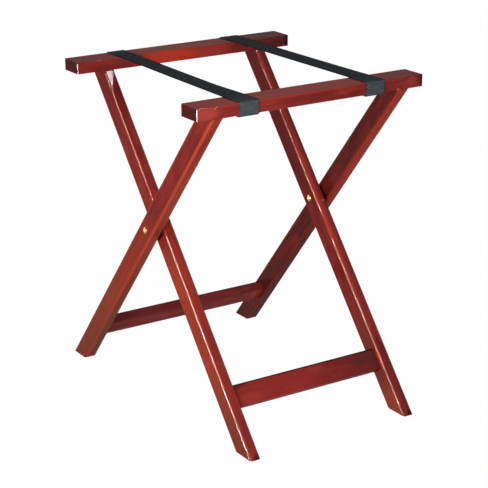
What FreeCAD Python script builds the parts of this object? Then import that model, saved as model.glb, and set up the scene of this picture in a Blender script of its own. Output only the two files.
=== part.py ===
import FreeCAD, Part
import math
import os

# Folding luggage rack in lacquered wood. Two frames, each a top rail on two leaning legs with a low
# stretcher, cross on one pivot axis. Two webbing straps run over both rails and hold the rack open.
#
# Millimetres. +X runs along the rails, +Y towards the rear rail, +Z up. The origin is on the floor,
# midway between the four feet and under the pivot axis. Left is -X, seen from the front (-Y).
#
# The outer frame carries the front rail and stands on the rear feet. The inner frame fits between
# the outer frame's legs, carries the rear rail and stands on the front feet.

# ---- whole rack, standing open -----------------------------------------------------------------
RAIL_TOP_HEIGHT = 780.0     # floor to the top of the rails
PIVOT_HEIGHT = 430.0        # floor to the pivot axis
LEG_LEAN_DEG = 39.8         # each leg from the vertical
OUTER_LEG_SPAN = 514.0      # over the outer faces of the outer frame's legs

# ---- boards ------------------------------------------------------------------------------------
RAIL_LENGTH = 591.0
RAIL_WIDTH = 66.0
RAIL_THICKNESS = 27.5
RAIL_EDGE_RADIUS = 1.5      # long edges
RAIL_CORNER_RADIUS = 4.5    # upright corners at the ends
RAIL_LIP = 0.0              # the rail's outer face stands this far outside the leg below it

LEG_WIDTH = 49.0
LEG_THICKNESS = 27.0
LEG_EDGE_RADIUS = 5.0
HEEL_RADIUS = 20.0          # blunt back corner of each foot
FRAME_GAP = 5.0             # between an outer leg and the inner leg beside it

STRETCHER_WIDTH = 52.0
STRETCHER_THICKNESS = 25.0
STRETCHER_EDGE_RADIUS = 4.0
STRETCHER_HEIGHT = 101.7    # floor to the middle of the stretcher

# ---- glued dowels ------------------------------------------------------------------------------
DOWEL_DIAMETER = 8.0
DOWEL_CLEARANCE = 0.05      # round the dowel, on the radius
DOWEL_END_ROOM = 0.5        # glue room past each end of a dowel
RAIL_DOWEL_IN_RAIL = 14.0
RAIL_DOWEL_IN_LEG = 18.0
RAIL_DOWEL_SPACING = 22.0
RAIL_DOWEL_SHIFT = 5.0      # the pair sits this far inwards of the leg's middle, clear of its slant
STRETCHER_DOWEL_IN_LEG = 13.0
STRETCHER_DOWEL_IN_STRETCHER = 25.0
STRETCHER_DOWEL_SPACING = 28.0

# ---- pivot: a barrel nut through both legs and a screw into it -----------------------------------
BARREL_DIAMETER = 8.0
BARREL_IN_LEG_CLEARANCE = 0.05      # barrel in the outer leg and in the spacer, on the radius
BARREL_RUNNING_CLEARANCE = 0.08     # barrel in the turning inner leg, on the radius
BARREL_SHORTFALL = 2.0              # the barrel stops this far short of the inner leg's inner face
CAP_DIAMETER = 15.0
CAP_RIM_HEIGHT = 0.8
CAP_DOME_HEIGHT = 2.4
CAP_SLOT_WIDTH = 1.4
CAP_SLOT_DEPTH = 1.2
SCREW_DIAMETER = 5.0
SCREW_CLEARANCE = 0.05
SCREW_LENGTH = 22.0                 # below the head
SCREW_END_ROOM = 1.5                # hole left past the screw's tip
SPACER_DIAMETER = 22.0
PIVOT_SIDE_PLAY = 0.2               # beside the turning inner leg, on each face

# ---- webbing straps ----------------------------------------------------------------------------
STRAP_WIDTH = 50.0
STRAP_THICKNESS = 1.8
STRAP_FRONT_INSET = 8.0             # inner leg's inner face to the strap's outer edge, on the front rail
STRAP_REAR_INSET = 15.5             # the same on the rear rail, where the straps sit a little closer together
STRAP_SEAT = 0.1                    # webbing off the wood
STRAP_JOIN = 0.3                    # between the span and each end, at the rails' inner edges
HEM_LENGTH = 34.0                   # doubled end stapled under the rail, from the rail's outer face
HEM_PLIES = 2

# ---- staples -----------------------------------------------------------------------------------
STAPLES_PER_END = 3
STAPLE_PITCH = 16.0
STAPLE_CROWN = 11.0
STAPLE_WIRE_WIDTH = 1.2
STAPLE_WIRE_THICKNESS = 0.7
STAPLE_LEG = 10.0
STAPLE_INSET = 9.0                  # from the hem's cut edge back to the row of staples

CUT_OVERSHOOT = 1.0                 # a cutting shape runs this far past each face it opens

# ---- worked out from the values above --------------------------------------------------------------
LEAN = math.radians(LEG_LEAN_DEG)
RAIL_UNDERSIDE = RAIL_TOP_HEIGHT - RAIL_THICKNESS
LEG_HALF_SLICE = LEG_WIDTH / 2 / math.cos(LEAN)     # half of a leg's width, measured level
LEG_TOP_REACH = (RAIL_UNDERSIDE - PIVOT_HEIGHT) * math.tan(LEAN)
RAIL_REACH = LEG_TOP_REACH + LEG_HALF_SLICE + RAIL_LIP
RAIL_INNER_REACH = RAIL_REACH - RAIL_WIDTH
STRETCHER_DROP = (PIVOT_HEIGHT - STRETCHER_HEIGHT) / math.cos(LEAN)     # from the pivot, along the leg

OUTER_LEG_OUTSIDE = OUTER_LEG_SPAN / 2
OUTER_LEG_INSIDE = OUTER_LEG_OUTSIDE - LEG_THICKNESS
INNER_LEG_OUTSIDE = OUTER_LEG_INSIDE - FRAME_GAP
INNER_LEG_INSIDE = INNER_LEG_OUTSIDE - LEG_THICKNESS

FRONT = -1      # which way in Y a rail or a leg's top lies
REAR = 1
LEFT = -1       # which way in X
RIGHT = 1

X_AXIS = FreeCAD.Vector(1, 0, 0)
Y_AXIS = FreeCAD.Vector(0, 1, 0)
Z_AXIS = FreeCAD.Vector(0, 0, 1)


def box(low, high):
    """Box between two opposite corners, given as (x, y, z)."""
    size = [b - a for a, b in zip(low, high)]
    return Part.makeBox(size[0], size[1], size[2], FreeCAD.Vector(*low))


def rod(radius, start, end):
    """Plain round bar from start to end."""
    a = FreeCAD.Vector(*start)
    run = FreeCAD.Vector(*end) - a
    return Part.makeCylinder(radius, run.Length, a, run)


def edges_along(shape, axis):
    """The straight edges of shape that run along axis."""
    found = []
    for edge in shape.Edges:
        run = edge.Vertexes[-1].Point - edge.Vertexes[0].Point
        if run.Length > 0 and abs(run.dot(axis)) > 0.999 * run.Length:
            found.append(edge)
    return found


def board(low, high, axis, radius):
    """Box whose edges along axis are rounded."""
    blank = box(low, high)
    return blank.makeFillet(radius, edges_along(blank, axis))


def lean(shape, side):
    """Turn a shape drawn about an upright leg with its pivot at the origin, so that its top goes to side."""
    leaning = shape.copy()
    leaning.rotate(FreeCAD.Vector(0, 0, 0), X_AXIS, -side * LEG_LEAN_DEG)
    leaning.translate(FreeCAD.Vector(0, 0, PIVOT_HEIGHT))
    return leaning


# ---- dowels: the same places serve the pins and their holes -----------------------------------------
def rail_dowel_lines(side, leg_middle):
    """Upright lines of one rail's dowels, as (x, y), with leg_middle the legs' distance from the centre."""
    pair_middle = side * (LEG_TOP_REACH - RAIL_DOWEL_SHIFT)
    lines = []
    for x in (-leg_middle, leg_middle):
        for half in (-RAIL_DOWEL_SPACING / 2, RAIL_DOWEL_SPACING / 2):
            lines.append((x, pair_middle + half))
    return lines


def dowel(start, end):
    return rod(DOWEL_DIAMETER / 2, start, end)


def dowel_hole(start, end):
    return rod(DOWEL_DIAMETER / 2 + DOWEL_CLEARANCE, start, end)


def rail_dowels(side, leg_middle):
    low = RAIL_UNDERSIDE - RAIL_DOWEL_IN_LEG
    high = RAIL_UNDERSIDE + RAIL_DOWEL_IN_RAIL
    pins = [dowel((x, y, low), (x, y, high)) for x, y in rail_dowel_lines(side, leg_middle)]
    return Part.makeCompound(pins)


def rail_dowel_holes(side, leg_middle):
    low = RAIL_UNDERSIDE - RAIL_DOWEL_IN_LEG - DOWEL_END_ROOM
    high = RAIL_UNDERSIDE + RAIL_DOWEL_IN_RAIL + DOWEL_END_ROOM
    return [dowel_hole((x, y, low), (x, y, high)) for x, y in rail_dowel_lines(side, leg_middle)]


def stretcher_dowel_runs(leg_inside, end_room):
    """Start and end of each stretcher dowel, drawn about an upright leg, with end_room added at both ends."""
    runs = []
    for x_side in (LEFT, RIGHT):
        near = x_side * (leg_inside - STRETCHER_DOWEL_IN_STRETCHER - end_room)
        far = x_side * (leg_inside + STRETCHER_DOWEL_IN_LEG + end_room)
        for half in (-STRETCHER_DOWEL_SPACING / 2, STRETCHER_DOWEL_SPACING / 2):
            z = -STRETCHER_DROP + half
            runs.append(((near, 0, z), (far, 0, z)))
    return runs


def stretcher_dowels(side, leg_inside):
    pins = [lean(dowel(a, b), side) for a, b in stretcher_dowel_runs(leg_inside, 0)]
    return Part.makeCompound(pins)


def stretcher_dowel_holes(side, leg_inside):
    return [lean(dowel_hole(a, b), side) for a, b in stretcher_dowel_runs(leg_inside, DOWEL_END_ROOM)]


# ---- boards ----------------------------------------------------------------------------------------
def rail(side, leg_middle):
    """Flat top rail with eased edges, lying across the tops of its two legs."""
    y_faces = sorted((side * RAIL_REACH, side * RAIL_INNER_REACH))
    low = (-RAIL_LENGTH / 2, y_faces[0], RAIL_UNDERSIDE)
    high = (RAIL_LENGTH / 2, y_faces[1], RAIL_TOP_HEIGHT)
    plank = board(low, high, Z_AXIS, RAIL_CORNER_RADIUS)
    rim = []
    for edge in plank.Edges:
        z_low = edge.BoundBox.ZMin
        z_high = edge.BoundBox.ZMax
        if z_high - z_low < RAIL_THICKNESS / 2:
            rim.append(edge)
    plank = plank.makeFillet(RAIL_EDGE_RADIUS, rim)
    return plank.cut(rail_dowel_holes(side, leg_middle))


def leg_outline(side, x_low, x_high):
    """Slab in the leg's side outline: cut level at the floor and under the rail, with a blunt heel."""
    foot_middle = -side * PIVOT_HEIGHT * math.tan(LEAN)
    top_middle = side * LEG_TOP_REACH
    toe = (foot_middle - side * LEG_HALF_SLICE, 0)
    heel = (foot_middle + side * LEG_HALF_SLICE, 0)
    top_inner = (top_middle - side * LEG_HALF_SLICE, RAIL_UNDERSIDE)
    top_outer = (top_middle + side * LEG_HALF_SLICE, RAIL_UNDERSIDE)
    corners = [FreeCAD.Vector(x_low, y, z) for y, z in (toe, heel, top_outer, top_inner, toe)]
    face = Part.Face(Part.makePolygon(corners))
    slab = face.extrude(FreeCAD.Vector(x_high - x_low, 0, 0))
    heel_edges = []
    for edge in edges_along(slab, X_AXIS):
        middle = edge.CenterOfMass
        if abs(middle.y - heel[0]) < 1 and abs(middle.z) < 1:
            heel_edges.append(edge)
    return slab.makeFillet(HEEL_RADIUS, heel_edges)


def leg(side, x_side, outside, pivot_clearance):
    """Straight leg whose top leans to side, with its outer face outside of the centre, on the left or right."""
    inside = outside - LEG_THICKNESS
    x_low, x_high = sorted((x_side * inside, x_side * outside))
    half = LEG_WIDTH / 2
    reach = RAIL_TOP_HEIGHT / math.cos(LEAN)
    bar = board((x_low, -half, -reach), (x_high, half, reach), Z_AXIS, LEG_EDGE_RADIUS)
    blank = lean(bar, side).common(leg_outline(side, x_low, x_high))
    pivot_hole = rod(BARREL_DIAMETER / 2 + pivot_clearance,
                     (x_low - CUT_OVERSHOOT, 0, PIVOT_HEIGHT),
                     (x_high + CUT_OVERSHOOT, 0, PIVOT_HEIGHT))
    holes = [pivot_hole] + rail_dowel_holes(side, (inside + outside) / 2)
    holes += stretcher_dowel_holes(side, inside)
    return blank.cut(holes)


def stretcher(side, leg_inside):
    """Flat slat between the two legs of a frame, with its width along them."""
    low = (-leg_inside, -STRETCHER_THICKNESS / 2, -STRETCHER_DROP - STRETCHER_WIDTH / 2)
    high = (leg_inside, STRETCHER_THICKNESS / 2, -STRETCHER_DROP + STRETCHER_WIDTH / 2)
    slat = lean(board(low, high, X_AXIS, STRETCHER_EDGE_RADIUS), side)
    return slat.cut(stretcher_dowel_holes(side, leg_inside))


# ---- pivots ------------------------------------------------------------------------------------------
def turned(outline, x_side):
    """Solid turned about the pivot axis. outline gives edges as lists of (distance out along X, radius)."""
    edges = []
    for run in outline:
        points = [FreeCAD.Vector(x, 0, PIVOT_HEIGHT + radius) for x, radius in run]
        if len(points) == 3:
            edges.append(Part.Arc(*points).toShape())
        else:
            edges.append(Part.LineSegment(*points).toShape())
    face = Part.Face(Part.Wire(edges))
    solid = face.revolve(FreeCAD.Vector(0, 0, PIVOT_HEIGHT), X_AXIS, 360)
    if x_side == LEFT:
        solid = solid.mirror(FreeCAD.Vector(0, 0, 0), X_AXIS)
    return solid


def cap_runs(face, outwards, neck):
    """Edges of a domed cap seated on face, from its neck over the rim and the dome to its crown."""
    radius = CAP_DIAMETER / 2
    ball_radius = (radius ** 2 + CAP_DOME_HEIGHT ** 2) / (2 * CAP_DOME_HEIGHT)
    rise = math.sqrt(ball_radius ** 2 - (radius / 2) ** 2) - (ball_radius - CAP_DOME_HEIGHT)
    rim = face + outwards * CAP_RIM_HEIGHT
    crown = rim + outwards * CAP_DOME_HEIGHT
    runs = [[(face, neck), (face, radius)],
            [(face, radius), (rim, radius)],
            [(rim, radius), (rim + outwards * rise, radius / 2), (crown, 0)]]
    return runs, crown


def pivot_barrel(x_side):
    """Cap outside the outer leg, with a hollow barrel that passes through both legs."""
    radius = BARREL_DIAMETER / 2
    bore = SCREW_DIAMETER / 2 + SCREW_CLEARANCE
    tip = INNER_LEG_INSIDE + BARREL_SHORTFALL
    bore_end = INNER_LEG_INSIDE - PIVOT_SIDE_PLAY + SCREW_LENGTH + SCREW_END_ROOM
    head, crown = cap_runs(OUTER_LEG_OUTSIDE, 1, radius)
    outline = [[(tip, bore), (tip, radius)], [(tip, radius), (OUTER_LEG_OUTSIDE, radius)]]
    outline += head
    outline += [[(crown, 0), (bore_end, 0)], [(bore_end, 0), (bore_end, bore)], [(bore_end, bore), (tip, bore)]]
    return turned(outline, x_side)


def pivot_screw(x_side):
    """Slotted cap just inside the turning inner leg, on a screw that runs into the barrel."""
    radius = SCREW_DIAMETER / 2
    seat = INNER_LEG_INSIDE - PIVOT_SIDE_PLAY
    tip = seat + SCREW_LENGTH
    head, crown = cap_runs(seat, -1, radius)
    outline = head
    outline += [[(crown, 0), (tip, 0)], [(tip, 0), (tip, radius)], [(tip, radius), (seat, radius)]]
    x_low, x_high = sorted((x_side * (crown - CUT_OVERSHOOT), x_side * (crown + CAP_SLOT_DEPTH)))
    slot = box((x_low, -CAP_DIAMETER, PIVOT_HEIGHT - CAP_SLOT_WIDTH / 2),
               (x_high, CAP_DIAMETER, PIVOT_HEIGHT + CAP_SLOT_WIDTH / 2))
    return turned(outline, x_side).cut(slot)


def pivot_spacer(x_side):
    """Ring on the barrel that keeps the two legs apart, seated on the outer leg."""
    seat = x_side * OUTER_LEG_INSIDE
    free = x_side * (INNER_LEG_OUTSIDE + PIVOT_SIDE_PLAY)
    ring = rod(SPACER_DIAMETER / 2, (seat, 0, PIVOT_HEIGHT), (free, 0, PIVOT_HEIGHT))
    hole = rod(BARREL_DIAMETER / 2 + BARREL_IN_LEG_CLEARANCE,
               (seat + x_side * CUT_OVERSHOOT, 0, PIVOT_HEIGHT),
               (free - x_side * CUT_OVERSHOOT, 0, PIVOT_HEIGHT))
    return ring.cut(hole)


# ---- straps ------------------------------------------------------------------------------------------
def strap_middle(x_side, side):
    """Distance along X to the strap's middle, where it crosses the rail on side."""
    inset = STRAP_FRONT_INSET if side == FRONT else STRAP_REAR_INSET
    return x_side * (INNER_LEG_INSIDE - inset - STRAP_WIDTH / 2)


def round_the_rail(x_low, x_high, offset):
    """Solid that stands offset outside the front rail's cross-section all round."""
    low = (x_low, -RAIL_REACH - offset, RAIL_UNDERSIDE - offset)
    high = (x_high, -RAIL_INNER_REACH + offset, RAIL_TOP_HEIGHT + offset)
    return board(low, high, X_AXIS, RAIL_EDGE_RADIUS + offset)


def strap_end(x_side, side):
    """Strap from the rail's inner top edge over it, down its outer face and back under it to a doubled hem."""
    middle = strap_middle(x_side, side)
    x_low = middle - STRAP_WIDTH / 2
    x_high = middle + STRAP_WIDTH / 2
    sleeve = round_the_rail(x_low, x_high, STRAP_SEAT + STRAP_THICKNESS)
    x_cut = (x_low - CUT_OVERSHOOT, x_high + CUT_OVERSHOOT)
    sleeve = sleeve.cut(round_the_rail(x_cut[0], x_cut[1], STRAP_SEAT))
    rail_middle_z = (RAIL_TOP_HEIGHT + RAIL_UNDERSIDE) / 2
    hem_edge = -RAIL_REACH + HEM_LENGTH
    skin = STRAP_SEAT + STRAP_THICKNESS + CUT_OVERSHOOT
    beyond = -RAIL_INNER_REACH + skin
    past_top = box((x_cut[0], -RAIL_INNER_REACH, rail_middle_z), (x_cut[1], beyond, RAIL_TOP_HEIGHT + skin))
    past_hem = box((x_cut[0], hem_edge, RAIL_UNDERSIDE - skin), (x_cut[1], beyond, rail_middle_z))
    end = sleeve.cut([past_top, past_hem])
    if HEM_PLIES > 1:
        turn = -RAIL_REACH + RAIL_EDGE_RADIUS
        hem_top = RAIL_UNDERSIDE - STRAP_SEAT - STRAP_THICKNESS
        hem = box((x_low, turn, hem_top - (HEM_PLIES - 1) * STRAP_THICKNESS), (x_high, hem_edge, hem_top))
        end = end.fuse(hem).removeSplitter()
    if side == REAR:
        end = end.mirror(FreeCAD.Vector(0, 0, 0), Y_AXIS)
    return end


def strap_span(x_side):
    """Taut run of strap between the two rails' inner edges."""
    reach = RAIL_INNER_REACH - STRAP_JOIN
    front = strap_middle(x_side, FRONT)
    rear = strap_middle(x_side, REAR)
    half = STRAP_WIDTH / 2
    low = RAIL_TOP_HEIGHT + STRAP_SEAT
    corners = [(front - half, -reach), (front + half, -reach), (rear + half, reach), (rear - half, reach)]
    points = [FreeCAD.Vector(x, y, low) for x, y in corners + corners[:1]]
    return Part.Face(Part.makePolygon(points)).extrude(FreeCAD.Vector(0, 0, STRAP_THICKNESS))


def staple(x, y):
    """Wire staple driven up through the hem into the rail, its crown under the webbing."""
    crown_top = RAIL_UNDERSIDE - STRAP_SEAT - HEM_PLIES * STRAP_THICKNESS
    crown_low = crown_top - STAPLE_WIRE_THICKNESS
    wire_y = STAPLE_WIRE_WIDTH / 2
    body = box((x - STAPLE_CROWN / 2, y - wire_y, crown_low),
               (x + STAPLE_CROWN / 2, y + wire_y, crown_top + STAPLE_LEG))
    inner = STAPLE_CROWN / 2 - STAPLE_WIRE_THICKNESS
    between = box((x - inner, y - wire_y - CUT_OVERSHOOT, crown_top),
                  (x + inner, y + wire_y + CUT_OVERSHOOT, crown_top + STAPLE_LEG + CUT_OVERSHOOT))
    return body.cut(between)


def staples(side):
    """Rows of staples that hold both straps under one rail."""
    y = side * (RAIL_REACH - HEM_LENGTH + STAPLE_INSET)
    row = []
    for x_side in (LEFT, RIGHT):
        middle = strap_middle(x_side, side)
        for i in range(STAPLES_PER_END):
            x = middle + (i - (STAPLES_PER_END - 1) / 2) * STAPLE_PITCH
            row.append(staple(x, y))
    return Part.makeCompound(row)


# ---- the rack, piece by piece ------------------------------------------------------------------------
def both_sides(make):
    """One node with the left and the right copy of a fastener."""
    return Part.makeCompound([make(LEFT), make(RIGHT)])


def pieces():
    made = {}
    outer_middle = (OUTER_LEG_OUTSIDE + OUTER_LEG_INSIDE) / 2
    inner_middle = (INNER_LEG_OUTSIDE + INNER_LEG_INSIDE) / 2

    made["front_rail"] = rail(FRONT, outer_middle)
    made["front_rail_dowels"] = rail_dowels(FRONT, outer_middle)
    made["rear_stretcher"] = stretcher(FRONT, OUTER_LEG_INSIDE)
    made["rear_stretcher_dowels"] = stretcher_dowels(FRONT, OUTER_LEG_INSIDE)

    made["rear_rail"] = rail(REAR, inner_middle)
    made["rear_rail_dowels"] = rail_dowels(REAR, inner_middle)
    made["front_stretcher"] = stretcher(REAR, INNER_LEG_INSIDE)
    made["front_stretcher_dowels"] = stretcher_dowels(REAR, INNER_LEG_INSIDE)

    for name, x_side in (("left", LEFT), ("right", RIGHT)):
        made[f"outer_leg_{name}"] = leg(FRONT, x_side, OUTER_LEG_OUTSIDE, BARREL_IN_LEG_CLEARANCE)
        made[f"inner_leg_{name}"] = leg(REAR, x_side, INNER_LEG_OUTSIDE, BARREL_RUNNING_CLEARANCE)
        made[f"{name}_strap_front_end"] = strap_end(x_side, FRONT)
        made[f"{name}_strap_span"] = strap_span(x_side)
        made[f"{name}_strap_rear_end"] = strap_end(x_side, REAR)

    made["pivot_barrels"] = both_sides(pivot_barrel)
    made["pivot_screws"] = both_sides(pivot_screw)
    made["pivot_spacers"] = both_sides(pivot_spacer)
    made["front_staples"] = staples(FRONT)
    made["rear_staples"] = staples(REAR)
    return made


def main():
    os.makedirs("parts", exist_ok=True)
    for name, shape in pieces().items():
        if not shape.isValid():
            raise ValueError(f"{name} is not a valid solid")
        shape.exportStep(f"parts/{name}.step")
        room = shape.optimalBoundingBox()
        print(f"{name}: {len(shape.Solids)} solid(s), {shape.Volume / 1000:.1f} cm3, "
              f"X {room.XMin:.1f}..{room.XMax:.1f}, Y {room.YMin:.1f}..{room.YMax:.1f}, "
              f"Z {room.ZMin:.1f}..{room.ZMax:.1f}")


main()
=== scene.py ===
import math
from typing import NamedTuple

import bmesh
import bpy
from mathutils import Matrix, Vector


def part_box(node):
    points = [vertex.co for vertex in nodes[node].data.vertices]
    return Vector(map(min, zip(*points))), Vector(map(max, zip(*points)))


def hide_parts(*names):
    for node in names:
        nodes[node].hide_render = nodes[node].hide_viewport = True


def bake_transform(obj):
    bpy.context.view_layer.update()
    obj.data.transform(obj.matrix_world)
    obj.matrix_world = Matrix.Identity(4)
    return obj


# Folding luggage rack in mahogany-stained hardwood, with black webbing straps and brass pivots.
# Metres. +X runs along the rails, +Y towards the rear rail, +Z up from the floor.

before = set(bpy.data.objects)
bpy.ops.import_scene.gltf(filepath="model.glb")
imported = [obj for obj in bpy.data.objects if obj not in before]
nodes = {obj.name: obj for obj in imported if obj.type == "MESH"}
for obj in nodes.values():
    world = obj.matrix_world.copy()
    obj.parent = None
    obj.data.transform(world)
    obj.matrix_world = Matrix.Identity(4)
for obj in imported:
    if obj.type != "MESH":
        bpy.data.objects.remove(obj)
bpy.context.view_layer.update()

MM = 0.001

# ---- sizes shared with the CAD model ---------------------------------------------------------------
PIVOT_HEIGHT = 430.0 * MM
LEG_LEAN = math.radians(39.8)
RAIL_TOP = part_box("front_rail")[1].z
RAIL_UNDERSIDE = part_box("front_rail")[0].z
RAIL_OUTER_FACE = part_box("rear_rail")[1].y
RAIL_INNER_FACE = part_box("rear_rail")[0].y
RAIL_EDGE = 1.5 * MM
LEG_HALF = (13.5 * MM, 24.5 * MM, 0.6)        # across, fore and aft, and past both ends
STRETCHER_HALF = (12.5 * MM, 26.0 * MM)       # thickness and width
WEBBING_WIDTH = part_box("left_strap_front_end")[1].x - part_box("left_strap_front_end")[0].x


# ---- node helpers ----------------------------------------------------------------------------------
# A Mix node's sockets go by number, because its data types share their names.
MIX = 0
VALUE_A = 2
VALUE_B = 3
COLOUR_A = 6
COLOUR_B = 7


def colour(code):
    """Linear RGBA from an sRGB hex code."""
    channels = [int(code[i:i + 2], 16) / 255 for i in (1, 3, 5)]
    return tuple(c / 12.92 if c <= 0.04045 else ((c + 0.055) / 1.055) ** 2.4 for c in channels) + (1.0,)


def add(tree, kind, inputs=None, **settings):
    """Add one shader node with its settings, and set or link its inputs.

    A node given as an input stands for the first of its outputs that is in use."""
    node = tree.nodes.new(kind)
    for name, value in settings.items():
        setattr(node, name, value)
    for socket, value in (inputs or {}).items():
        if isinstance(value, bpy.types.Node):
            value = next(output for output in value.outputs if output.enabled)
        if isinstance(value, bpy.types.NodeSocket):
            tree.links.new(value, node.inputs[socket])
        else:
            node.inputs[socket].default_value = value
    return node


def new_material(name):
    material = bpy.data.materials.new(name)
    material.use_nodes = True
    material.node_tree.nodes.clear()
    return material, material.node_tree


def finish_material(tree, shader):
    add(tree, "ShaderNodeOutputMaterial", {"Surface": shader})


# ---- camera ------------------------------------------------------------------------------------------
LENS = 118.06                                 # millimetres, like the sensor's width
SENSOR_WIDTH = 36.0
CAMERA_PLACE = (-1.9337, -3.0383, 1.5720)
CAMERA_TURN = (71.2477, 0.2694, -32.6999)     # degrees about X, Y and Z


def place_camera():
    data = bpy.data.cameras.new("camera")
    data.lens = LENS
    data.sensor_width = SENSOR_WIDTH
    data.clip_end = 50.0
    camera = bpy.data.objects.new("camera", data)
    camera.location = CAMERA_PLACE
    camera.rotation_euler = [math.radians(angle) for angle in CAMERA_TURN]
    bpy.context.scene.collection.objects.link(camera)
    bpy.context.scene.camera = camera


# ---- light -------------------------------------------------------------------------------------------
SURROUNDING_LIGHT = 0.3     # what the world sheds on the rack, where its white backdrop shows as 1
FLOOR_SIZE = 16.0
FLOOR_GLOW = 0.985          # how much of the floor shows plain white; the rest takes the rack's shadow
LEG_GLINT_TURN = math.radians(-41)


def soft_light(name, size, place, target, brightness, tint="#FFFFFF"):
    """A softbox, size in metres, facing target. A mirror would show it this many times as bright as white."""
    data = bpy.data.lights.new(name, "AREA")
    data.shape = "RECTANGLE"
    data.size, data.size_y = size
    data.color = colour(tint)[:3]
    data.energy = brightness * math.pi * size[0] * size[1]
    lamp = bpy.data.objects.new(name, data)
    lamp.location = place
    lamp.rotation_euler = (Vector(target) - Vector(place)).to_track_quat("-Z", "Y").to_euler()
    lamp.visible_camera = False
    bpy.context.scene.collection.objects.link(lamp)
    return lamp


def seen_directly(tree):
    """1 where the camera, a mirror reflection or clear glass looks at the surface, else 0."""
    path = add(tree, "ShaderNodeLightPath").outputs
    seen = add(tree, "ShaderNodeMath", {0: path["Is Camera Ray"], 1: path["Is Glossy Ray"]},
               operation="MAXIMUM")
    return add(tree, "ShaderNodeMath", {0: seen, 1: path["Is Transmission Ray"]}, operation="MAXIMUM")


def light_the_studio():
    world = bpy.data.worlds.new("studio")
    bpy.context.scene.world = world
    world.use_nodes = True
    tree = world.node_tree
    tree.nodes.clear()
    fill = add(tree, "ShaderNodeBackground", {"Color": colour("#FFFFFF"), "Strength": SURROUNDING_LIGHT})
    backdrop = add(tree, "ShaderNodeBackground", {"Color": colour("#FFFFFF"), "Strength": 1.0})
    both = add(tree, "ShaderNodeMixShader", {0: seen_directly(tree), 1: fill, 2: backdrop})
    add(tree, "ShaderNodeOutputWorld", {"Surface": both})

    soft_light("key", (0.6, 0.9), (-1.9, -1.3, 0.95), (0, 0, 0.4), 12.5, "#FFF6E6")
    soft_light("front_fill", (1.4, 1.2), (0.1, -3.3, 1.0), (0, 0, 0.45), 4, "#F6F4FF")
    soft_light("rear_fill", (1.6, 1.4), (-1.4, 3.0, 1.2), (0, 0, 0.4), 2.5)

    # The rest are seen only in the lacquer. A tall strip from the floor up on the left, brighter low down,
    # draws the thin bright lines down the rounded edges. A card shows in the front rail's upright corner, and
    # a small lamp above in the top of the left leg.
    low_strip = soft_light("edge_strip_low", (0.2, 1.7), (-2.4, -0.5, 0.95), (0, -0.5, 0.95), 330)
    high_strip = soft_light("edge_strip_high", (0.2, 1.5), (-2.4, -0.5, 2.55), (0, -0.5, 2.55), 240,
                            "#FFEDE4")
    card = soft_light("corner_card", (1.1, 0.1), (-0.782, -0.517, 0.633), (-0.295, -0.3, 0.766), 42,
                      "#E6ECFF")
    glint = soft_light("leg_glint", (0.05, 0.12), (0.043, -0.002, 1.229), (-0.2175, 0.226, 0.738), 150,
                       "#F4E8F2")
    glint.rotation_euler.rotate_axis("Z", LEG_GLINT_TURN)
    for lamp in (low_strip, high_strip, card, glint):
        lamp.visible_diffuse = False


def lay_the_floor():
    bpy.ops.mesh.primitive_plane_add(size=FLOOR_SIZE, location=(0, 0, 0))
    floor = bpy.context.object
    floor.name = "floor"
    material, tree = new_material("studio_floor")
    matte = add(tree, "ShaderNodeBsdfDiffuse", {"Color": colour("#F2F2F2")})
    glow = add(tree, "ShaderNodeEmission", {"Color": colour("#FFFFFF"), "Strength": 1.0})
    share = add(tree, "ShaderNodeMath", {0: seen_directly(tree), 1: FLOOR_GLOW}, operation="MULTIPLY")
    finish_material(tree, add(tree, "ShaderNodeMixShader", {0: share, 1: matte, 2: glow}))
    floor.data.materials.append(material)


# ---- mahogany-stained hardwood, sprayed with clear lacquer -------------------------------------------
# Straight, close grain under a red-brown stain that takes unevenly, so the boards are clouded and no two are
# alike. The legs' rounded edges are lighter and more orange, partly where the stain is rubbed thin and partly
# a painted highlight on the rounding; the stretchers' edges are darkened with painted shade, and stain soaks
# into end grain, which is nearly brown.
STAIN_DEEP = "#561E1C"
STAIN = "#872724"
STAIN_THIN = "#AE3E31"
STAIN_TONES = ((0.25, STAIN_DEEP), (0.5, STAIN), (0.77, STAIN_THIN))
# Lighter edges: stain rubbed thin, with a painted highlight on the rounding. Darker edges: painted shade.
RUBBED_EDGE_AND_HIGHLIGHT = "#C84C34"
PAINTED_EDGE_SHADE = "#36100F"
END_GRAIN = "#541616"
END_FACING = (0.55, 0.72)   # end grain starts and is full where a normal lies this much along the board
GRAIN_WIDTH = 2.6 * MM      # the real grain is about 1 mm wide, too fine to show, so it is drawn coarser
GRAIN_LENGTH = 140.0 * MM
PORE_WIDTH = 1.4 * MM       # open pores, drawn coarser too
PORE_LENGTH = 22.0 * MM
PORE_RIM = 0.6              # the noise level where a pore starts
PORE_CORE = 0.72            # and where it is full
PORE_DARKNESS = 0.35
CLOUD_WIDTH = 26.0 * MM
CLOUD_LENGTH = 90.0 * MM
CLOUD_SHARE = 0.6           # clouding in the stain's tone, the rest being grain
STAIN_AND_LIGHT_SWING = 0.5           # how far each board's ups and downs along it, partly the stain's own and partly painted light falloff and shade, move its tone
BOARD_SHIFT = (3.7, 1.9, 7.3)                 # moves the pattern on from each board to the next
COAT = 0.12                 # the lacquer's gloss where it is sound
WORN_COAT = 0.02
CORNER_SHINE = 3.5          # how many times as glossy the polished corners are
CORNER_DEPTH = 6.0 * MM
RAIL_EDGE_DEPTH = 3.0 * MM
STRETCHER_EDGE_DEPTH = 4.0 * MM
EDGE_FULL = 0.8             # of the way to the corner, where an edge's colour is full
EDGE_BREAKS = (0.1, 0.4)    # grain as low as this takes the edge's colour away, from all of it to none
WOOD_ROUGHNESS = (0.4, 0.5)
MARK_CORE = 0.5             # a mark shows in full within this share of its radii
MARK_RIM = 1.1              # and is gone at this one
MARK_WAVER = 0.8            # how much the clouding bends its outline
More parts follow.
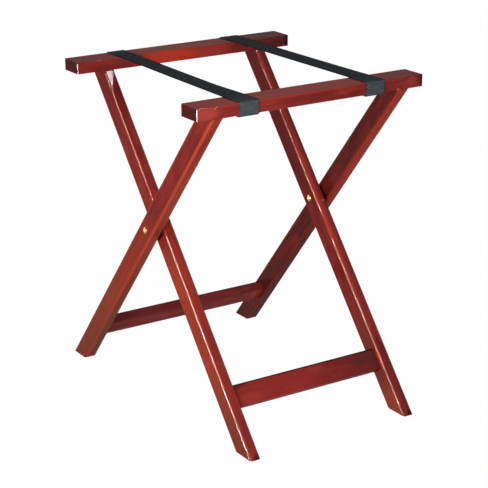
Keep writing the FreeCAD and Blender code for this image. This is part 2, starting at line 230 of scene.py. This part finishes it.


# Marks of use and of the spray gun, and painted light and shade, in millimetres from the middle of each
# board:
# centre, radii, colour, how much of that colour shows, and how much of the gloss it takes.
FRONT_RAIL_MARKS = (
    ((-275, -33, 0), (42, 14, 16), "#CB524C", 0.55, 0),        # paler and pinker at the left end
    ((-251.5, -33, 9), (3.2, 4, 1.8), "#C98A3C", 0.9, 1),      # a chip through the lacquer
    ((-247.5, -33, 12.4), (3.0, 4, 1.8), "#C98A3C", 0.9, 1),
    ((225, -33, -12), (5, 4, 2.5), "#C98A6A", 0.6, 1),
    ((262, -33, 2), (17, 14, 13), "#B84A4C", 0.35, 0),
    # painted shade at the right end
    ((295, -33, 0), (11, 30, 30), "#3A0C12", 0.8, 0),
    ((-90, 0, 15), (330, 80, 7), "#CC4A3C", 0.4, 0),           # top rubbed by cases
)
REAR_RAIL_MARKS = (
    # painted light: the front face brighter through the middle
    ((-50, -33, 0), (90, 14, 22), "#D8402C", 0.7, 0),
    ((70, -33, 0), (60, 14, 22), "#B43C30", 0.4, 0),
    # painted shadow at the right end
    ((293, -33, 0), (14, 30, 30), "#2A0A10", 0.8, 0),
)
FRONT_STRETCHER_MARKS = (
    ((-64, -12, -4), (120, 20, 44), "#A4322D", 0.6, 0),        # brighter and redder left of the middle
    ((-160, -12, -14), (36, 20, 17), "#B23C34", 0.55, 0),
    ((95, -12, -4), (85, 20, 44), "#7E2626", 0.5, 0),
    # painted shadow at the left end's top
    ((-186, -12, 24), (32, 20, 13), "#4A1A1E", 0.5, 0),
    ((200, -12, 10), (90, 20, 44), "#5A282C", 0.65, 0),
    ((0, -12, 27), (900, 7, 5.5), "#16080A", 0.9, 1),          # painted shade along the top edge
)
REAR_STRETCHER_MARKS = (
    ((0, 0, 30), (900, 30, 14), "#6E3034", 0.45, 0),
    # painted shade along the top edge
    ((0, 13, 26), (900, 5.5, 5.5), "#16080A", 0.85, 1),
)
OUTER_LEFT_MARKS = (
    ((5, -26, 20), (15, 8, 26), "#26080D", 0.9, 0.8),          # painted shade on the front face where the legs cross
    ((4, -27, 60), (18, 11, 330), "#AA543A", 0.5, 0),          # the front face lighter and browner low down, a painted reflection of the floor
    ((4, -27, -400), (18, 11, 220), "#74523E", 0.55, 0),
    ((-5, -22, 470), (17, 15, 130), "#BC4C2C", 0.4, 0),        # lighter under the rail, rubbed by hands, with a painted highlight on the rounded edge
    ((-16, 0, -170), (13, 60, 230), "#BE4A2C", 0.3, 0),
    ((-16, 0, -480), (13, 60, 330), "#9E5034", 0.45, 0),       # browner towards the foot
)
OUTER_RIGHT_MARKS = (
    ((0, -27, 300), (22, 15, 430), "#B83E30", 0.7, 0),         # lighter along the front, partly stain rubbed thin and partly a painted highlight
    ((0, 0, -560), (60, 60, 330), "#5A3A30", 0.35, 0),
    ((-13.5, -1, 16), (6, 25, 8), "#0C0405", 0.95, 1),         # painted shadow in the gap where the inner leg crosses
)
INNER_LEFT_MARKS = (
    ((-13.5, 6, -16), (8, 27, 12), "#0A0304", 1.0, 1),         # painted shadow in the gap where the outer leg crosses
    ((15, -27, 0), (6, 16, 6000), "#4A0C16", 0.6, 0),          # painted shade along the inner edge
    ((0, -27, 360), (18, 12, 140), "#6A1C1E", 0.4, 0),
    ((0, -27, -200), (16, 12, 180), "#B43C30", 0.3, 0),
    ((0, -27, -340), (16, 12, 110), "#7A2424", 0.3, 0),
    ((-16, 0, 420), (12, 60, 200), "#76161A", 0.42, 0),        # painted shade below the rail
    ((-16, 0, -250), (13, 60, 240), "#C24C2C", 0.4, 0),        # painted light, brighter and more orange low down
    ((-16, 0, -560), (12, 60, 250), "#8E4A34", 0.4, 0),
    ((6, -22, -578), (14, 14, 13), "#3A1420", 0.7, 0.3),       # darker at the heel
)
INNER_RIGHT_MARKS = (
    ((-2, -27, 60), (12, 12, 330), "#BC443A", 0.32, 0),
    ((0, -27, -290), (16, 12, 100), "#B03C34", 0.2, 0),
    ((-9.5, -27, 120), (9, 8, 600), "#D04E3E", 0.55, 0.15),    # red along the front left edge, partly rubbed and partly a painted highlight
    ((-16, 0, 240), (13, 60, 330), "#5A1A1E", 0.45, 0),
    # painted shade along the inner edge
    ((15, -27, 0), (7, 16, 6000), "#5A0E18", 0.35, 0.5),
    ((13, -27, 150), (10, 16, 420), "#6A1A1C", 0.5, 0),
    ((0, -27, -480), (30, 16, 125), "#6A1A20", 0.42, 0),
    ((-16, 0, -545), (12, 60, 60), "#C4583C", 0.45, 0),
    ((-16, 0, -560), (12, 60, 330), "#8E4A34", 0.4, 0),
    ((-13.5, -19, -432), (6, 7, 34), "#D8482A", 0.75, 0),      # a painted reflection, bright orange beside the stretcher
    ((6, -22, -578), (14, 14, 15), "#1E080E", 0.85, 0.5),
    ((-10, -25, -562), (9, 10, 24), "#5A2A34", 0.5, 0.8),
    ((4, -24.5, -20), (5, 4, 2.2), "#C77A72", 0.8, 0),         # a nick
)


class Board(NamedTuple):
    """A board's own axes and finish."""
    middle: tuple
    lean: float               # turn about X that stands a leg upright or lays a stretcher's face flat
    long_axis: int            # 0 for a board along X, 2 for a leg
    half_size: tuple
    edge_depth: float
    edge_colour: str
    edge_share: tuple         # how strongly the edge colour shows at the low end and at the high end
    stain_and_light: tuple              # how thin the stain lies, with painted light falloff and shade, at the low end, middle and high end, from -1 to 1
    marks: tuple
    corner_shine: float


def stained(tree, board, along, grain, cloud, pores):
    """Wood stained deep, middling or thin by grain, clouding and its own ups and downs along the board, which
    carry painted light falloff and shade too, with open pores.
    """
    stain_and_light_ramp = add(tree, "ShaderNodeValToRGB", {"Fac": along})
    stain_and_light_ramp.color_ramp.interpolation = "EASE"
    stain_and_light_ramp.color_ramp.elements.new(0.5)
    for element, stain_and_light in zip(stain_and_light_ramp.color_ramp.elements, board.stain_and_light):
        level = 0.5 + stain_and_light / 2
        element.color = (level, level, level, 1)
    lift = add(tree, "ShaderNodeMath", {0: stain_and_light_ramp, 1: 0.5}, operation="SUBTRACT")
    lift = add(tree, "ShaderNodeMath", {0: lift, 1: STAIN_AND_LIGHT_SWING}, operation="MULTIPLY")
    mottle = add(tree, "ShaderNodeMix", {MIX: CLOUD_SHARE, VALUE_A: grain, VALUE_B: cloud})
    mottle = add(tree, "ShaderNodeMath", {0: mottle, 1: lift}, operation="ADD")
    tones = add(tree, "ShaderNodeValToRGB", {"Fac": mottle})
    tones.color_ramp.elements.new(0.5)
    for element, (position, code) in zip(tones.color_ramp.elements, STAIN_TONES):
        element.position = position
        element.color = colour(code)
    open_pores = add(tree, "ShaderNodeMapRange",
                     {"Value": pores, "From Min": PORE_RIM, "From Max": PORE_CORE, "To Max": PORE_DARKNESS},
                     interpolation_type="SMOOTHSTEP")
    return add(tree, "ShaderNodeMix", {MIX: open_pores, COLOUR_A: tones, COLOUR_B: colour(STAIN_DEEP)},
               data_type="RGBA")


def near_side(tree, share, half, depth):
    """Rises from 0 to 1 over this depth from a side, where the share of the half size reaches 1."""
    return add(tree, "ShaderNodeMapRange", {"Value": share, "From Min": 1 - depth / half, "From Max": 1.0},
               interpolation_type="SMOOTHSTEP")


def edged(tree, board, wood, shares, along, grain):
    """The long edges lighter, partly stain rubbed thin and partly a painted highlight, or darker with painted
    shade, more at one end than at the other, and broken up by the grain.
    """
    sides = []
    for axis in range(3):
        if axis != board.long_axis:
            out = add(tree, "ShaderNodeMath", {0: shares[axis]}, operation="ABSOLUTE")
            sides.append(near_side(tree, out, board.half_size[axis], board.edge_depth))
    edge = add(tree, "ShaderNodeMath", {0: sides[0], 1: sides[1]}, operation="MULTIPLY")
    edge = add(tree, "ShaderNodeMapRange", {"Value": edge, "From Max": EDGE_FULL},
               interpolation_type="SMOOTHSTEP")
    strength = add(tree, "ShaderNodeMapRange",
                   {"Value": along, "To Min": board.edge_share[0], "To Max": board.edge_share[1]})
    edge = add(tree, "ShaderNodeMath", {0: edge, 1: strength}, operation="MULTIPLY")
    breaks = add(tree, "ShaderNodeMapRange",
                 {"Value": grain, "From Min": EDGE_BREAKS[0], "From Max": EDGE_BREAKS[1]},
                 interpolation_type="SMOOTHSTEP")
    edge = add(tree, "ShaderNodeMath", {0: edge, 1: breaks}, operation="MULTIPLY")
    return add(tree, "ShaderNodeMix", {MIX: edge, COLOUR_A: wood, COLOUR_B: colour(board.edge_colour)},
               data_type="RGBA")


def marked(tree, board, wood, place, cloud):
    """The wood with its marks, soft blots whose outline the clouding bends, and how dull they leave it."""
    waver = add(tree, "ShaderNodeMath", {0: cloud, 1: 0.5}, operation="SUBTRACT")
    waver = add(tree, "ShaderNodeMath", {0: waver, 1: MARK_WAVER}, operation="MULTIPLY")
    dull = 0.0
    for centre, radii, code, most, worn in board.marks:
        inside = add(tree, "ShaderNodeMapping",
                     {"Vector": place, "Location": [-c / r for c, r in zip(centre, radii)],
                      "Scale": [1 / (r * MM) for r in radii]})
        away = add(tree, "ShaderNodeVectorMath", {0: inside}, operation="LENGTH")
        away = add(tree, "ShaderNodeMath", {0: away, 1: waver}, operation="ADD")
        shown = add(tree, "ShaderNodeMapRange",
                    {"Value": away, "From Min": MARK_RIM, "From Max": MARK_CORE, "To Max": most},
                    interpolation_type="SMOOTHSTEP")
        wood = add(tree, "ShaderNodeMix", {MIX: shown, COLOUR_A: wood, COLOUR_B: colour(code)},
                   data_type="RGBA")
        if worn:
            bare = add(tree, "ShaderNodeMapRange",
                       {"Value": away, "From Min": MARK_RIM, "From Max": MARK_CORE, "To Max": worn},
                       interpolation_type="SMOOTHSTEP")
            dull = add(tree, "ShaderNodeMath", {0: bare, 1: dull}, operation="MAXIMUM")
    return wood, dull


def soaked(tree, wood, normal, long_way):
    """The wood with its end grain, where the surface faces the long way of the board."""
    facing = add(tree, "ShaderNodeVectorMath", {0: normal, 1: long_way}, operation="DOT_PRODUCT")
    facing = add(tree, "ShaderNodeMath", {0: facing}, operation="ABSOLUTE")
    end_grain = add(tree, "ShaderNodeMapRange",
                    {"Value": facing, "From Min": END_FACING[0], "From Max": END_FACING[1]},
                    interpolation_type="SMOOTHSTEP")
    return add(tree, "ShaderNodeMix", {MIX: end_grain, COLOUR_A: wood, COLOUR_B: colour(END_GRAIN)},
               data_type="RGBA")


def lacquer_gloss(tree, board, shares, dull):
    """The coat's gloss, less where it is worn and more on the front left corner, rubbed to a high polish."""
    sides = []
    for axis in (0, 1):
        out = add(tree, "ShaderNodeMath", {0: shares[axis], 1: -1.0}, operation="MULTIPLY")
        sides.append(near_side(tree, out, board.half_size[axis], CORNER_DEPTH))
    corner = add(tree, "ShaderNodeMath", {0: sides[0], 1: sides[1]}, operation="MINIMUM")
    shine = add(tree, "ShaderNodeMapRange", {"Value": corner, "To Min": 1.0, "To Max": board.corner_shine})
    gloss = add(tree, "ShaderNodeMapRange", {"Value": dull, "To Min": COAT, "To Max": WORN_COAT})
    return add(tree, "ShaderNodeMath", {0: gloss, 1: shine}, operation="MULTIPLY")


def lacquered_wood(name, board, seed):
    material, tree = new_material(name)
    turn = Matrix.Rotation(board.lean, 3, "X")
    coords = add(tree, "ShaderNodeTexCoord").outputs
    place = add(tree, "ShaderNodeMapping",
                {"Vector": coords["Object"], "Rotation": (board.lean, 0, 0),
                 "Location": -(turn @ Vector(board.middle))})

    def streaks(width, length, start, detail, distortion=0.0):
        """Noise from 0 to 1 in patches of this width across the board and this length along it."""
        scale = [1 / width] * 3
        scale[board.long_axis] = 1 / length
        shift = [seed * step for step in BOARD_SHIFT]
        shift[0] += start
        stretched = add(tree, "ShaderNodeMapping", {"Vector": place, "Scale": scale, "Location": shift})
        return add(tree, "ShaderNodeTexNoise",
                   {"Vector": stretched, "Scale": 1.0, "Detail": detail, "Roughness": 0.6,
                    "Distortion": distortion})

    grain = streaks(GRAIN_WIDTH, GRAIN_LENGTH, 0, 4, 0.6)
    cloud = streaks(CLOUD_WIDTH, CLOUD_LENGTH, 11, 3, 0.8)
    pores = streaks(PORE_WIDTH, PORE_LENGTH, 23, 2)

    # Each axis as a share of the board's half size, so that a point on its faces lies at 1 or -1.
    scale = [1 / half for half in board.half_size]
    shares = add(tree, "ShaderNodeMapping", {"Vector": place, "Scale": scale})
    shares = add(tree, "ShaderNodeSeparateXYZ", {"Vector": shares}).outputs
    along = add(tree, "ShaderNodeMath", {0: shares[board.long_axis], 1: 0.5, 2: 0.5},
                operation="MULTIPLY_ADD")

    wood = stained(tree, board, along, grain, cloud, pores)
    wood = edged(tree, board, wood, shares, along, grain)
    wood, dull = marked(tree, board, wood, place, cloud)
    wood = soaked(tree, wood, coords["Normal"], turn[board.long_axis])
    gloss = lacquer_gloss(tree, board, shares, dull)
    bump = add(tree, "ShaderNodeBump", {"Height": grain, "Strength": 0.04, "Distance": 0.1 * MM})
    rough = add(tree, "ShaderNodeMapRange",
                {"Value": grain, "To Min": WOOD_ROUGHNESS[0], "To Max": WOOD_ROUGHNESS[1]})
    shader = add(tree, "ShaderNodeBsdfPrincipled",
                 {"Base Color": wood, "Roughness": rough, "IOR": 1.5, "Specular IOR Level": 0.0,
                  "Coat Weight": gloss, "Coat Roughness": 0.08, "Coat IOR": 1.5, "Normal": bump})
    finish_material(tree, shader)
    return material


def finish_the_boards():
    rail_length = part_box("front_rail")[1].x
    rail_half = (rail_length, (RAIL_OUTER_FACE - RAIL_INNER_FACE) / 2, (RAIL_TOP - RAIL_UNDERSIDE) / 2)
    rail_y = (RAIL_OUTER_FACE + RAIL_INNER_FACE) / 2
    rail_z = (RAIL_TOP + RAIL_UNDERSIDE) / 2
    boards = {}
    # Each board's tones along its length carry painted light too: the rear rail's middle is painted brighter
    # and its right end painted dark with shade.
    rails = {"front_rail": (-rail_y, (0.2, 0.1), (0.2, 0.15, 0.0), FRONT_RAIL_MARKS),
             "rear_rail": (rail_y, (0.1, 0.1), (0.1, 0.7, -0.9), REAR_RAIL_MARKS)}
    for name, (y, edge_share, stain_and_light, marks) in rails.items():
        boards[name] = Board(middle=(0, y, rail_z), lean=0, long_axis=0, half_size=rail_half,
                             edge_depth=RAIL_EDGE_DEPTH, edge_colour=RUBBED_EDGE_AND_HIGHLIGHT, edge_share=edge_share,
                             stain_and_light=stain_and_light, marks=marks, corner_shine=CORNER_SHINE)
    stretchers = {"front_stretcher": ((0.0, 0.2), (0.4, 0.3, -0.2), FRONT_STRETCHER_MARKS),
                  "rear_stretcher": ((0.3, 0.3), (-0.1, -0.1, 0.35), REAR_STRETCHER_MARKS)}
    for name, (edge_share, stain_and_light, marks) in stretchers.items():
        low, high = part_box(name)
        middle = (low + high) / 2
        lean = LEG_LEAN if middle.y < 0 else -LEG_LEAN
        boards[name] = Board(middle=middle, lean=lean, long_axis=0, half_size=(high.x,) + STRETCHER_HALF,
                             edge_depth=STRETCHER_EDGE_DEPTH, edge_colour=PAINTED_EDGE_SHADE, edge_share=edge_share,
                             stain_and_light=stain_and_light, marks=marks, corner_shine=1.0)
    legs = {"outer_leg_left": (9 * MM, (0.25, 1.05), (0.0, 0.1, 0.1), OUTER_LEFT_MARKS),
            "outer_leg_right": (7 * MM, (0.2, 0.15), (-0.6, -0.6, -0.8), OUTER_RIGHT_MARKS),
            "inner_leg_left": (8 * MM, (0.4, 0.4), (0.3, 0.4, 0.0), INNER_LEFT_MARKS),
            "inner_leg_right": (8 * MM, (0.5, 0.5), (0.1, 0.0, -0.2), INNER_RIGHT_MARKS)}
    for name, (edge_depth, edge_share, stain_and_light, marks) in legs.items():
        low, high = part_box(name)
        middle = ((low.x + high.x) / 2, 0, PIVOT_HEIGHT)
        lean, shine = (-LEG_LEAN, 1.0) if name.startswith("outer") else (LEG_LEAN, CORNER_SHINE)
        boards[name] = Board(middle=middle, lean=lean, long_axis=2, half_size=LEG_HALF,
                             edge_depth=edge_depth, edge_colour=RUBBED_EDGE_AND_HIGHLIGHT, edge_share=edge_share,
                             stain_and_light=stain_and_light, marks=marks, corner_shine=shine)
    for seed, (name, board) in enumerate(boards.items(), start=1):
        nodes[name].data.materials[0] = lacquered_wood("mahogany_" + name, board, seed)


# ---- webbing: polypropylene yarn in a close plain weave ----------------------------------------------
# Dull, ribbed across, with tight selvedges; its edges carry painted shade. Real yarns are about 1 mm apart;
# they are drawn coarser to show.
YARN_SPACING = 2.0 * MM
PICK_SPACING = 2.5 * MM
FUZZ_WIDTH = 11.11 * MM     # patches where loose fibre has lifted off the yarns
FUZZ_LENGTH = 4.348 * MM
FUZZ_SHARE = 0.7
YARN_TONES = ((0.4, "#262A2D"), (0.64, "#5D646A"))
# Painted light on the straps where they pass over the rails.
PAINTED_LIGHT_YARN = "#70777C"
PAINTED_LIGHT_SHARE = (0.25, 0.13)     # how much of it shows at the rails' outer faces, on the left and on the right
PAINTED_LIGHT_REACH = 200.0 * MM   # from the middle of the rack, where those shares are reached
# Painted shade along each strap's edges.
EDGE_SHADE_YARN = "#14181A"
EDGE_SHADE_START = 4.0 * MM   # in from the strap's edge, where it begins to darken
EDGE_SHADE_FULL = 1.0 * MM
EDGE_SHADE_SHARE = (0.7, 0.2)     # how dark it is between the rails, and at their outer faces


def woven_webbing():
    """U and V are metres across the strap and along it."""
    material, tree = new_material("woven_polypropylene_webbing")
    coords = add(tree, "ShaderNodeTexCoord").outputs
    flat = add(tree, "ShaderNodeSeparateXYZ", {"Vector": coords["UV"]}).outputs

    def waves(axis, spacing):
        turns = add(tree, "ShaderNodeMath", {0: flat[axis], 1: 2 * math.pi / spacing}, operation="MULTIPLY")
        return add(tree, "ShaderNodeMath", {0: turns}, operation="SINE")

    weave = add(tree, "ShaderNodeMath", {0: waves(0, 2 * YARN_SPACING), 1: waves(1, 2 * PICK_SPACING)},
                operation="MULTIPLY")
    over = add(tree, "ShaderNodeMapRange", {"Value": weave, "From Min": -1.0, "From Max": 1.0})
    fuzz = add(tree, "ShaderNodeMapping",
               {"Vector": coords["UV"], "Scale": (1 / FUZZ_WIDTH, 1 / FUZZ_LENGTH, 1)})
    fuzz = add(tree, "ShaderNodeTexNoise", {"Vector": fuzz, "Scale": 1.0, "Detail": 4, "Roughness": 0.7})
    tone = add(tree, "ShaderNodeMix", {MIX: FUZZ_SHARE, VALUE_A: over, VALUE_B: fuzz})
    shade = add(tree, "ShaderNodeValToRGB", {"Fac": tone})
    for element, (position, code) in zip(shade.color_ramp.elements, YARN_TONES):
        element.position = position
        element.color = colour(code)

    # Painted light: the webbing greyer on its way over each rail and down the rail's outer face, more on the
    # left.
    spot = add(tree, "ShaderNodeSeparateXYZ", {"Vector": coords["Object"]}).outputs
    out = add(tree, "ShaderNodeMath", {0: spot["Y"]}, operation="ABSOLUTE")
    most = add(tree, "ShaderNodeMapRange",
               {"Value": spot["X"], "From Min": -PAINTED_LIGHT_REACH, "From Max": PAINTED_LIGHT_REACH,
                "To Min": PAINTED_LIGHT_SHARE[0], "To Max": PAINTED_LIGHT_SHARE[1]})
    painted_light = add(tree, "ShaderNodeMapRange",
                 {"Value": out, "From Min": RAIL_INNER_FACE, "From Max": RAIL_OUTER_FACE, "To Max": most},
                 interpolation_type="SMOOTHSTEP")
    shade = add(tree, "ShaderNodeMix", {MIX: painted_light, COLOUR_A: shade, COLOUR_B: colour(PAINTED_LIGHT_YARN)},
                data_type="RGBA")

    # Painted shade along each strap's edges, less where light is painted on the strap.
    off_middle = add(tree, "ShaderNodeMath", {0: flat["X"], 1: WEBBING_WIDTH / 2}, operation="SUBTRACT")
    off_middle = add(tree, "ShaderNodeMath", {0: off_middle}, operation="ABSOLUTE")
    darkest = add(tree, "ShaderNodeMapRange",
                  {"Value": out, "From Min": RAIL_INNER_FACE, "From Max": RAIL_OUTER_FACE,
                   "To Min": EDGE_SHADE_SHARE[0], "To Max": EDGE_SHADE_SHARE[1]})
    edge_shade = add(tree, "ShaderNodeMapRange",
                   {"Value": off_middle, "From Min": WEBBING_WIDTH / 2 - EDGE_SHADE_START,
                    "From Max": WEBBING_WIDTH / 2 - EDGE_SHADE_FULL, "To Max": darkest},
                   interpolation_type="SMOOTHSTEP")
    shade = add(tree, "ShaderNodeMix", {MIX: edge_shade, COLOUR_A: shade, COLOUR_B: colour(EDGE_SHADE_YARN)},
                data_type="RGBA")
    bump = add(tree, "ShaderNodeBump", {"Height": over, "Strength": 0.5, "Distance": 0.3 * MM})
    shader = add(tree, "ShaderNodeBsdfPrincipled",
                 {"Base Color": shade, "Roughness": 0.9, "Specular IOR Level": 0.0, "Normal": bump})
    finish_material(tree, shader)
    return material


# ---- straps ------------------------------------------------------------------------------------------
STRAP_SEAT = 0.1 * MM
STRAP_THICKNESS = 1.75 * MM
STRAP_SAG = 0.5 * MM
HEM_LENGTH = 34.0 * MM
HEM_GAP = 0.05 * MM
STRAP_DRIFT = -3.0 * MM     # both straps were stapled a little to the left on the front rail
DRAW_IN = {"left_strap": 6.0 * MM, "right_strap": 1.5 * MM}     # how far each inner edge draws in
DRAW_START = 250.0 * MM     # in front of the pivot, where that begins
DRAW_RUN = 130.0 * MM
STRAP_COLUMNS = 12          # faces across a strap, and along each stretch of it
HEM_STEPS = 8
FOLD_STEPS = 10
BEND_STEPS = 5
FACE_STEPS = 6
TOP_STEPS = 10
SPAN_STEPS = 72
SMOOTH_BELOW = math.radians(40)


def arc(y, z, radius, start, end, steps):
    """Points of an arc in side view, angles in degrees from +Y towards +Z."""
    angles = [math.radians(start + (end - start) * i / steps) for i in range(steps + 1)]
    return [(y + radius * math.cos(a), z + radius * math.sin(a)) for a in angles]


def run(start, end, steps):
    """Points of a straight run in side view, without its two ends."""
    return [tuple(a + (b - a) * i / steps for a, b in zip(start, end)) for i in range(1, steps)]


def strap_line():
    """The strap's wood side in side view, as (y, z) from the front hem's cut edge to the rear one."""
    under = RAIL_UNDERSIDE - STRAP_SEAT
    out = RAIL_OUTER_FACE + STRAP_SEAT
    top = RAIL_TOP + STRAP_SEAT
    bend = RAIL_EDGE + STRAP_SEAT
    fold = RAIL_OUTER_FACE - HEM_LENGTH
    fold_radius = STRAP_THICKNESS + HEM_GAP / 2
    cut_edge = (RAIL_OUTER_FACE - RAIL_EDGE, under - 2 * fold_radius)
    half = [cut_edge] + run(cut_edge, (fold, cut_edge[1]), HEM_STEPS)
    half += arc(fold, under - fold_radius, fold_radius, 270, 90, FOLD_STEPS)
    half += run((fold, under), (out - bend, under), HEM_STEPS)
    half += arc(out - bend, under + bend, bend, -90, 0, BEND_STEPS)
    half += run((out, under + bend), (out, top - bend), FACE_STEPS)
    half += arc(out - bend, top - bend, bend, 0, 90, BEND_STEPS)
    half += run((out - bend, top), (RAIL_INNER_FACE, top), TOP_STEPS)
    span = []
    for i in range(SPAN_STEPS + 1):
        across = 1 - 2 * i / SPAN_STEPS
        span.append((RAIL_INNER_FACE * across, top - STRAP_SAG * (1 - across * across)))
    return [(-y, z) for y, z in half] + [(-y, z) for y, z in span] + [(y, z) for y, z in reversed(half)]


def webbing_strap(name):
    """One length of webbing, stapled under the front rail, over both rails and stapled under the rear one.

    Its inner edge draws in once the strap has left the front rail."""
    line = strap_line()
    front_low, front_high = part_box(name + "_front_end")
    rear_low, rear_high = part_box(name + "_rear_end")
    on_the_left = front_low.x < 0
    form = bmesh.new()
    weave = form.loops.layers.uv.new("weave")
    rows = []
    along = []
    travelled = 0.0
    for i, (y, z) in enumerate(line):
        step = math.dist(line[i - 1], line[i]) if i else 0.0
        travelled += step
        share = min(max((y + RAIL_INNER_FACE) / (2 * RAIL_INNER_FACE), 0), 1)
        drift = STRAP_DRIFT * (1 - share)
        low = front_low.x + (rear_low.x - front_low.x) * share + drift
        high = front_high.x + (rear_high.x - front_high.x) * share + drift
        eased = min(max((y + DRAW_START) / DRAW_RUN, 0), 1)
        drawn = DRAW_IN[name] * eased * eased * (3 - 2 * eased)
        if on_the_left:
            high -= drawn
        else:
            low += drawn
        along.append(travelled)
        across = [low + (high - low) * j / STRAP_COLUMNS for j in range(STRAP_COLUMNS + 1)]
        rows.append([form.verts.new((x, y, z)) for x in across])
    width = front_high.x - front_low.x
    for i in range(len(rows) - 1):
        for j in range(STRAP_COLUMNS):
            corners = ((i, j), (i, j + 1), (i + 1, j + 1), (i + 1, j))
            face = form.faces.new([rows[row][column] for row, column in corners])
            for loop, (row, column) in zip(face.loops, corners):
                loop[weave].uv = (width * column / STRAP_COLUMNS, along[row])
    mesh = bpy.data.meshes.new(name)
    form.to_mesh(mesh)
    form.free()
    strap = bpy.data.objects.new(name, mesh)
    bpy.context.scene.collection.objects.link(strap)
    select_only(strap)
    bpy.ops.object.shade_smooth_by_angle(angle=SMOOTH_BELOW)
    bpy.ops.object.modifier_add(type="SOLIDIFY")
    thickness = strap.modifiers[-1]
    thickness.thickness = STRAP_THICKNESS
    thickness.offset = 1
    bpy.ops.object.modifier_apply(modifier=thickness.name)
    return strap


def select_only(thing):
    for other in bpy.context.selected_objects:
        other.select_set(False)
    thing.select_set(True)
    bpy.context.view_layer.objects.active = thing


def lay_the_straps():
    webbing = woven_webbing()
    for name in ("left_strap", "right_strap"):
        strap = webbing_strap(name)
        strap.data.materials.append(webbing)
        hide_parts(name + "_front_end", name + "_span", name + "_rear_end")
        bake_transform(strap)


# ---- small fittings ----------------------------------------------------------------------------------
CROWN_RADIUS = 5.0 * MM
CROWN_CORE = 0.3            # the painted highlight on the crown is palest within this share of its radius
BRASS_ROUGHNESS = (0.16, 0.28)
BRASS = "#B98C40"
# the painted highlight on each head's crown
PAINTED_HIGHLIGHT_BRASS = "#FCF4DC"
HAZE_SIZE = 1.111 * MM
GRIT_SIZE = 2.0 * MM
GRIT_SWING = 0.06           # how far the grit moves a plain finish's roughness, up and down


def polished_brass():
    """Brass-plated steel, buffed: a warm mirror, with a painted highlight pale on each head's crown and
    tarnished brass round it.
    """
    material, tree = new_material("polished_brass")
    coords = add(tree, "ShaderNodeTexCoord").outputs["Object"]
    off_axis = add(tree, "ShaderNodeMapping",
                   {"Vector": coords, "Scale": (0, 1, 1), "Location": (0, 0, -PIVOT_HEIGHT)})
    off_axis = add(tree, "ShaderNodeVectorMath", {0: off_axis}, operation="LENGTH")
    crown = add(tree, "ShaderNodeMapRange",
                {"Value": off_axis, "From Min": CROWN_RADIUS, "From Max": CROWN_CORE * CROWN_RADIUS})
    tone = add(tree, "ShaderNodeMix", {MIX: crown, COLOUR_A: colour(BRASS), COLOUR_B: colour(PAINTED_HIGHLIGHT_BRASS)},
               data_type="RGBA")
    haze = add(tree, "ShaderNodeTexNoise", {"Vector": coords, "Scale": 1 / HAZE_SIZE, "Detail": 2})
    rough = add(tree, "ShaderNodeMapRange",
                {"Value": haze, "To Min": BRASS_ROUGHNESS[0], "To Max": BRASS_ROUGHNESS[1]})
    shader = add(tree, "ShaderNodeBsdfPrincipled", {"Base Color": tone, "Metallic": 1.0, "Roughness": rough})
    finish_material(tree, shader)
    return material


def plain_finish(name, code, roughness, metallic=0.0):
    material, tree = new_material(name)
    coords = add(tree, "ShaderNodeTexCoord").outputs["Object"]
    grit = add(tree, "ShaderNodeTexNoise", {"Vector": coords, "Scale": 1 / GRIT_SIZE, "Detail": 3})
    rough = add(tree, "ShaderNodeMapRange",
                {"Value": grit, "To Min": roughness - GRIT_SWING, "To Max": roughness + GRIT_SWING})
    shader = add(tree, "ShaderNodeBsdfPrincipled",
                 {"Base Color": colour(code), "Roughness": rough, "Metallic": metallic})
    finish_material(tree, shader)
    return material


def finish_the_fittings():
    brass = polished_brass()
    nylon = plain_finish("moulded_nylon", "#1F1C1C", 0.5)
    beech = plain_finish("beech_dowel", "#C9A36F", 0.7)
    steel = plain_finish("zinc_plated_wire", "#B9BCBE", 0.35, 1.0)
    for name in ("pivot_barrels", "pivot_screws"):
        nodes[name].data.materials[0] = brass
    nodes["pivot_spacers"].data.materials[0] = nylon
    for name in ("front_rail_dowels", "rear_rail_dowels", "front_stretcher_dowels", "rear_stretcher_dowels"):
        nodes[name].data.materials[0] = beech
    for name in ("front_staples", "rear_staples"):
        nodes[name].data.materials[0] = steel


bpy.context.scene.view_settings.view_transform = "Standard"
place_camera()
light_the_studio()
lay_the_floor()
finish_the_boards()
finish_the_fittings()
lay_the_straps()
